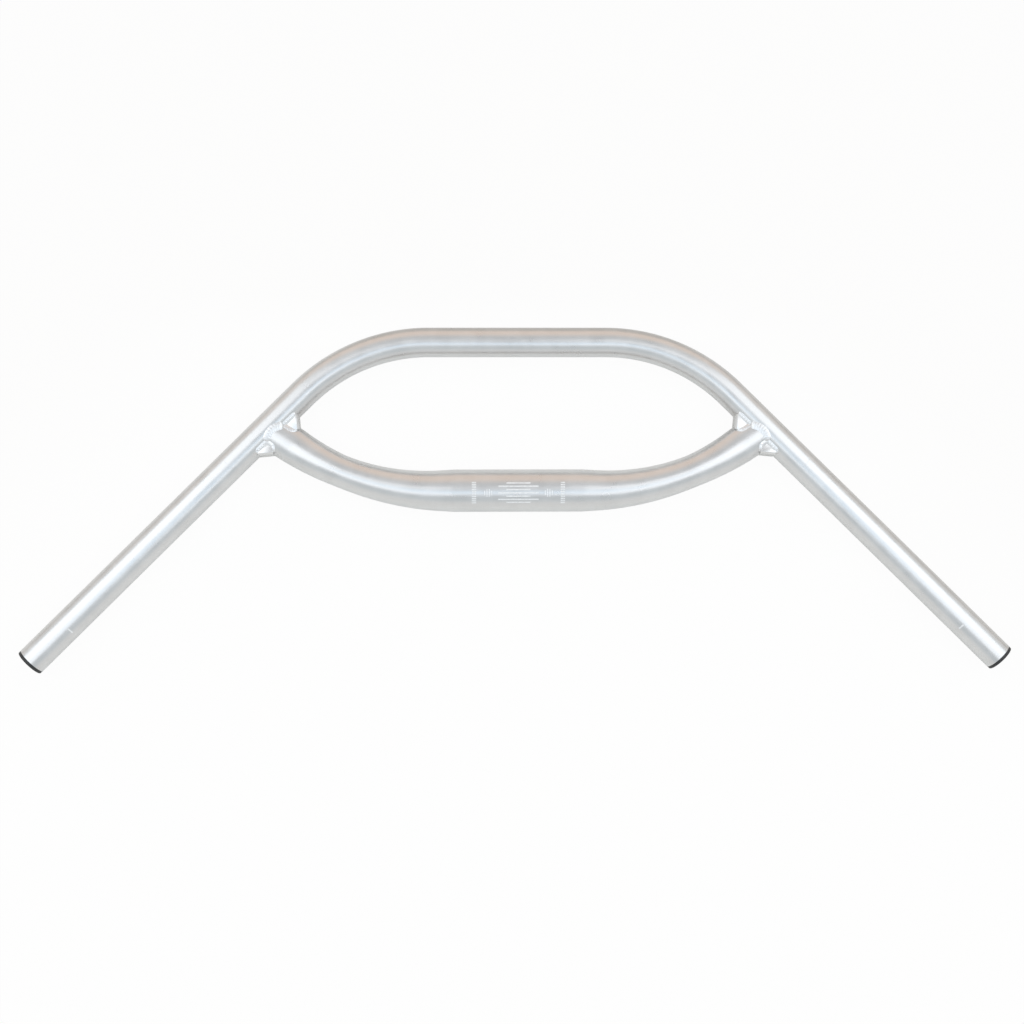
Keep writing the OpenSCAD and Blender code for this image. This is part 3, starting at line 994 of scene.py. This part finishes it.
class HANDLEBAR_OT_printed_marks(bpy.types.Operator):
    """Plain printed scales on the clamp, for setting the bar in a stem, and a cut mark near each end"""

    bl_idname = "handlebar.printed_marks"
    bl_label = "Printed marks"
    plate_step = math.radians(3)
    scale_lines = 7
    tick_count = 4
    ladder_rungs = 10
    # Shares of a long line, of a line's width, and of the scale's step
    short_line = 0.6
    tick_line = 0.7
    short_tick = 1.4
    long_tick = 2.4
    rung_step = 0.7

    def execute(self, context):
        bar = Bar(context.scene)
        ink = printed_ink(bar.finishes)
        piece = add_mesh("clamp_setting_marks", joined(self.clamp_marks(bar, bar.marks)))
        dress(piece, ink, "bar", [])
        cut_mark = self.cut_mark(bar, bar.marks)
        for side_name, side in SIDES.items():
            piece = add_mesh(f"cut_mark_{side_name}", on_side(cut_mark, side))
            dress(piece, ink, "bar", [])
        return {"FINISHED"}

    def plate(self, centre, along, across, radius, thickness, run, span):
        """A thin plate of ink bent round a tube, from and to a distance along it and a turn from its top"""
        count = max(1, math.ceil((span[1] - span[0]) / self.plate_step))
        rings = []
        for k in range(count + 1):
            turn = span[0] + (span[1] - span[0]) * k / count
            outward = math.sin(turn) * across + math.cos(turn) * UP
            rings.append([
                centre + distance * along + (radius + lift) * outward
                for distance, lift in ((run[0], 0), (run[1], 0), (run[1], thickness), (run[0], thickness))
            ])
        return solid_bar(rings)

    def cut_mark(self, bar, marks):
        """A line across the right-hand grip, half of it sunk in the tube"""
        half = marks.cut_span / 2
        return self.plate(
            bar.grip_end, -bar.grip_along, bar.grip_across, bar.grip_radius - marks.film, 2 * marks.film,
            (marks.cut_distance, marks.cut_distance + marks.line),
            (-marks.cut_turn - half, -marks.cut_turn + half),
        )

    def clamp_marks(self, bar, marks):
        """A middle scale of long and short lines, centring ticks beside it and a ladder on both sides"""
        line_span = marks.line / bar.clamp_radius

        def mark(middle, width, turn, span):
            return self.plate(
                Vector(), RIGHT, FORWARD, bar.clamp_radius - 2 * marks.film, 2 * marks.film,
                (middle - width / 2, middle + width / 2),
                (turn - marks.scale_turn - span / 2, turn - marks.scale_turn + span / 2),
            )

        shapes = []
        for k in range(self.scale_lines):
            width = marks.scale_length * (1 if k % 2 else self.short_line)
            turn = (k - (self.scale_lines - 1) / 2) * marks.scale_step
            shapes.append(mark(0, width, turn, line_span))
        for side in SIDES.values():
            for k in range(self.tick_count):
                middle = marks.tick_distance + (k - (self.tick_count - 1) / 2) * marks.tick_pitch
                span = marks.scale_step * (self.long_tick if 0 < k < self.tick_count - 1 else self.short_tick)
                shapes.append(mark(side * middle, marks.line * self.tick_line, 0, span))
            for k in range(self.ladder_rungs):
                turn = (k - (self.ladder_rungs - 1) / 2) * marks.scale_step * self.rung_step
                shapes.append(mark(side * marks.ladder_distance, marks.ladder_width, turn, line_span))
        return shapes


class HANDLEBAR_OT_stage(bpy.types.Operator):
    """White floor, six softboxes, a soft room and the camera"""

    bl_idname = "handlebar.stage"
    bl_label = "Stage"
    # Softboxes by their place on the right, in metres. Their span lies across the grip
    softboxes = {
        "outer": dict(place=(1.201, 0.521, 1.2), width=1.0, span=1.9, light=0.94, rgb=(0.94, 0.97, 1.0)),
        "inner": dict(place=(0.229, -0.252, 1.2), width=0.28, span=0.57, light=0.65, rgb=(0.53, 0.78, 1.0)),
        "grip": dict(place=(0.424, -0.481, 1.2), width=0.32, span=0.619, light=0.94, rgb=(0.94, 0.97, 1.0)),
    }
    # Colours of the room, each with the share of its height where it is full
    room_colours = (
        (0.0, (0.76, 0.76, 0.75)),
        (0.2, (0.81, 0.81, 0.8)),
        (0.6, (0.55, 0.61, 0.64)),
        (0.95, (0.545, 0.555, 0.57)),
        (1.0, (0.585, 0.6, 0.615)),
    )
    # Colour of the room's front, and how far forward it starts and is full
    front_colour = (0.875, 0.72, 0.615)
    front_reach = (0.55, 0.85)
    # Shares of plain white where metal reflects the room and the floor near the bar; near the bar the floor
    # thus glows in reflections, a painted reflection of a pool of light
    room_gloss_white = 0.16
    floor_gloss_white = 0.12
    floor_roughness = 0.9
    # How far the painted pool of light on the floor goes sideways and forward, added up, and how it fades to
    # painted shade there and ahead of the bar, and how far it is shifted to the left
    near_reach = 250 * MM
    near_fade = 170 * MM
    front_fade = 30 * MM
    near_shift = 30 * MM

    def execute(self, context):
        stage = context.scene.handlebar_stage
        self.add_floor(stage)
        for side_name in SIDES:
            for kind, settings in self.softboxes.items():
                self.add_softbox(f"{kind}_softbox_{side_name}", side_name, **settings)
        self.light_room(context.scene)
        self.add_camera(context.scene, stage)
        context.scene.view_settings.view_transform = "Standard"
        return {"FINISHED"}

    def add_floor(self, stage):
        half = stage.floor_size / 2
        outline = ((-half, -half), (half, -half), (half, half), (-half, half))
        corners = [Vector((x, y, cad_box[0].z)) for x, y in outline]
        floor = add_mesh("floor", (corners, [(0, 1, 2, 3)]))
        floor.data.materials.append(self.floor_material(stage))

    def floor_material(self, stage):
        """White floor with a painted pool of light round the bar and painted shade farther away and ahead of
        it, that the camera sees almost plain white
        """
        material, tree, shader = new_material("White floor")
        place = add_node(tree, "ShaderNodeTexCoord").outputs["Object"]
        parts = add_node(tree, "ShaderNodeSeparateXYZ", {"Vector": place}).outputs
        # Mask of the painted pool of light: one near the bar, falling to none farther away and ahead of it
        sideways = add_math(tree, "ABSOLUTE", add_math(tree, "ADD", parts["X"], self.near_shift))
        away = add_math(tree, "ADD", parts["Y"], sideways)
        front = cad_box[1].y
        near = add_math(
            tree, "MULTIPLY",
            remap(tree, away, self.near_reach, self.near_reach + self.near_fade, 1.0, 0.0),
            remap(tree, parts["Y"], front, front + self.front_fade, 1.0, 0.0),
        )
        # Painted light: the floor's colour is bright in the pool near the bar and painted shade elsewhere
        pooled_floor_colour = mix_colours(tree, near, opaque(stage.floor_painted_shade), opaque(stage.floor_lit_pool))
        plug_in(tree, shader, {"Base Color": pooled_floor_colour, "Roughness": self.floor_roughness})
        # Painted reflection: metal sees the floor glow plain white only in the pool near the bar
        reflected = add_math(tree, "MULTIPLY", near, self.floor_gloss_white)
        white_share = self.white_share(tree, stage.floor_white, reflected)
        white = add_node(tree, "ShaderNodeEmission", {"Color": opaque(WHITE), "Strength": 1.0})
        sockets = {0: white_share, 1: shader.outputs["BSDF"], 2: white.outputs["Emission"]}
        mixed = add_node(tree, "ShaderNodeMixShader", sockets).outputs["Shader"]
        plug_in(tree, tree.nodes["Material Output"], {"Surface": mixed})
        return material

    def white_share(self, tree, seen, reflected):
        """Share of plain white: one where the camera looks, and another where metal or glass shows it"""
        path = add_node(tree, "ShaderNodeLightPath").outputs
        in_metal = add_math(tree, "MAXIMUM", path["Is Glossy Ray"], path["Is Transmission Ray"])
        return add_math(
            tree, "MAXIMUM",
            add_math(tree, "MULTIPLY", path["Is Camera Ray"], seen),
            add_math(tree, "MULTIPLY", in_metal, reflected),
        )

    def add_softbox(self, name, side_name, place, width, span, light, rgb):
        """A level softbox over one side of the bar, whose span lies across the grip there"""
        along = Vector(mounts[f"{side_name}_grip"]["axis"]).normalized()
        lamp = bpy.data.lights.new(name, "AREA")
        lamp.shape = "RECTANGLE"
        lamp.size = width
        lamp.size_y = span
        # The power that gives the face this brightness
        lamp.energy = math.pi * width * span * light
        lamp.color = rgb
        softbox = bpy.data.objects.new(name, lamp)
        turn = Matrix((along, UP.cross(along), UP)).transposed().to_4x4()
        softbox.matrix_world = Matrix.Translation(mirrored(Vector(place), SIDES[side_name])) @ turn
        bpy.context.collection.objects.link(softbox)

    def light_room(self, scene):
        """A soft room: pale low down, bluish higher up, grey overhead, and warm in front"""
        world = bpy.data.worlds.new("Soft room")
        world.use_nodes = True
        tree = world.node_tree
        place = add_node(tree, "ShaderNodeTexCoord").outputs["Generated"]
        parts = add_node(tree, "ShaderNodeSeparateXYZ", {"Vector": place}).outputs
        ramp = add_node(tree, "ShaderNodeValToRGB", {"Fac": parts["Z"]})
        # The ramp has its first and last colour already
        for height, rgb in self.room_colours[1:-1]:
            ramp.color_ramp.elements.new(height)
        for element, (height, rgb) in zip(ramp.color_ramp.elements, self.room_colours):
            element.color = opaque(rgb)
        in_front = remap(tree, parts["Y"], *self.front_reach)
        room = mix_colours(tree, in_front, ramp.outputs["Color"], opaque(self.front_colour))
        white_share = self.white_share(tree, 1.0, self.room_gloss_white)
        shown = mix_colours(tree, white_share, room, opaque(WHITE))
        plug_in(tree, tree.nodes["Background"], {"Color": shown})
        scene.world = world

    def add_camera(self, scene, stage):
        camera = bpy.data.objects.new("camera", bpy.data.cameras.new("camera"))
        camera.data.lens = stage.lens
        camera.data.clip_end = 2 * stage.floor_size
        turn = Euler(stage.camera_turn).to_matrix().to_4x4()
        camera.matrix_world = Matrix.Translation(stage.camera_place) @ turn
        scene.collection.objects.link(camera)
        scene.camera = camera


SETTINGS = {
    "handlebar_tubes": TubeSizes,
    "handlebar_blocks": BlockSizes,
    "handlebar_beads": BeadSizes,
    "handlebar_plugs": PlugSizes,
    "handlebar_marks": MarkSizes,
    "handlebar_finishes": Finishes,
    "handlebar_stage": StageSizes,
}

OPERATORS = (
    HANDLEBAR_OT_loop_tube,
    HANDLEBAR_OT_crossbar,
    HANDLEBAR_OT_corner_blocks,
    HANDLEBAR_OT_weld_beads,
    HANDLEBAR_OT_end_plugs,
    HANDLEBAR_OT_printed_marks,
    HANDLEBAR_OT_stage,
)


class HANDLEBAR_PT_pieces(bpy.types.Panel):
    """Sizes, finishes and pieces of the loop handlebar"""

    bl_idname = "HANDLEBAR_PT_pieces"
    bl_label = "Loop handlebar"
    bl_space_type = "VIEW_3D"
    bl_region_type = "UI"
    bl_category = "Handlebar"

    def draw(self, context):
        for operator in OPERATORS:
            self.layout.operator(operator.bl_idname)
        for name, group in SETTINGS.items():
            box = self.layout.box()
            box.label(text=group.__doc__)
            for size in group.__annotations__:
                box.prop(getattr(context.scene, name), size)


CLASSES = (*SETTINGS.values(), *OPERATORS, HANDLEBAR_PT_pieces)


def register():
    for item in CLASSES:
        bpy.utils.register_class(item)
    for name, group in SETTINGS.items():
        setattr(bpy.types.Scene, name, bpy.props.PointerProperty(type=group))


def unregister():
    for name in SETTINGS:
        delattr(bpy.types.Scene, name)
    for item in reversed(CLASSES):
        bpy.utils.unregister_class(item)


def main():
    register()
    bpy.ops.handlebar.loop_tube()
    bpy.ops.handlebar.crossbar()
    bpy.ops.handlebar.corner_blocks()
    bpy.ops.handlebar.weld_beads()
    bpy.ops.handlebar.end_plugs()
    bpy.ops.handlebar.printed_marks()
    bpy.ops.handlebar.stage()


if __name__ == "__main__":
    main()
